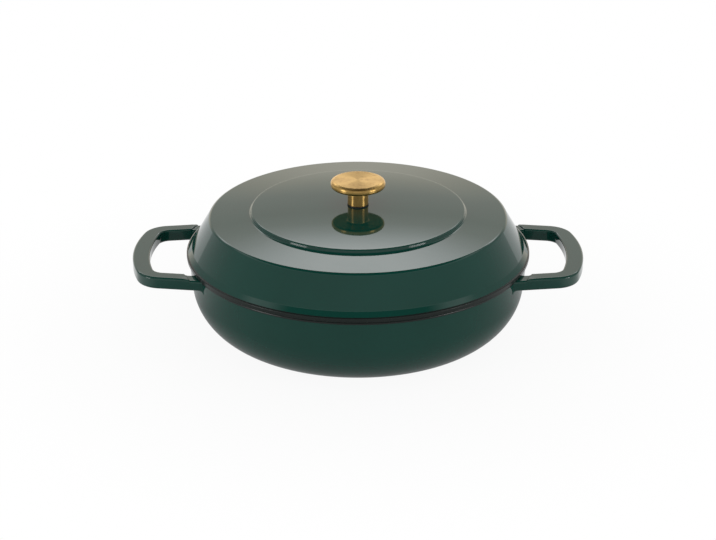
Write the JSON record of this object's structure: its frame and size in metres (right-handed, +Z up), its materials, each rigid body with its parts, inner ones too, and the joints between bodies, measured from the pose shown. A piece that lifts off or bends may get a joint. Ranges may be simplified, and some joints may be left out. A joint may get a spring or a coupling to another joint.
{
  "type": "braiser",
  "caption": "Wide shallow enamelled cast-iron braiser with two loop handles and a domed lid that lifts off by a turned brass knob.",
  "frame": {"origin": "middle of the flat base, on the surface the braiser stands on", "axes": "+X along the handles, +Z up through the knob"},
  "size_m": [0.397, 0.3018, 0.1389],
  "materials": {
    "enamel": "glossy dark green enamel on cast iron",
    "brass": "satin brushed brass",
    "gasket": "matte black silicone",
    "steel": "plain stainless steel"
  },
  "bodies": {
    "pot": {"pot_body": "enamel"},
    "lid_group": {"lid": "enamel", "lid_knob": "brass", "knob_gasket": "gasket", "knob_washer": "steel", "knob_lock_washer": "steel", "knob_screw": "steel"}
  },
  "joints": [
    {"name": "lid_lift", "type": "slide", "parent": "pot", "child": "lid_group", "axis": [0, 0, 1], "range_m": [0, 0.12]}
  ]
}
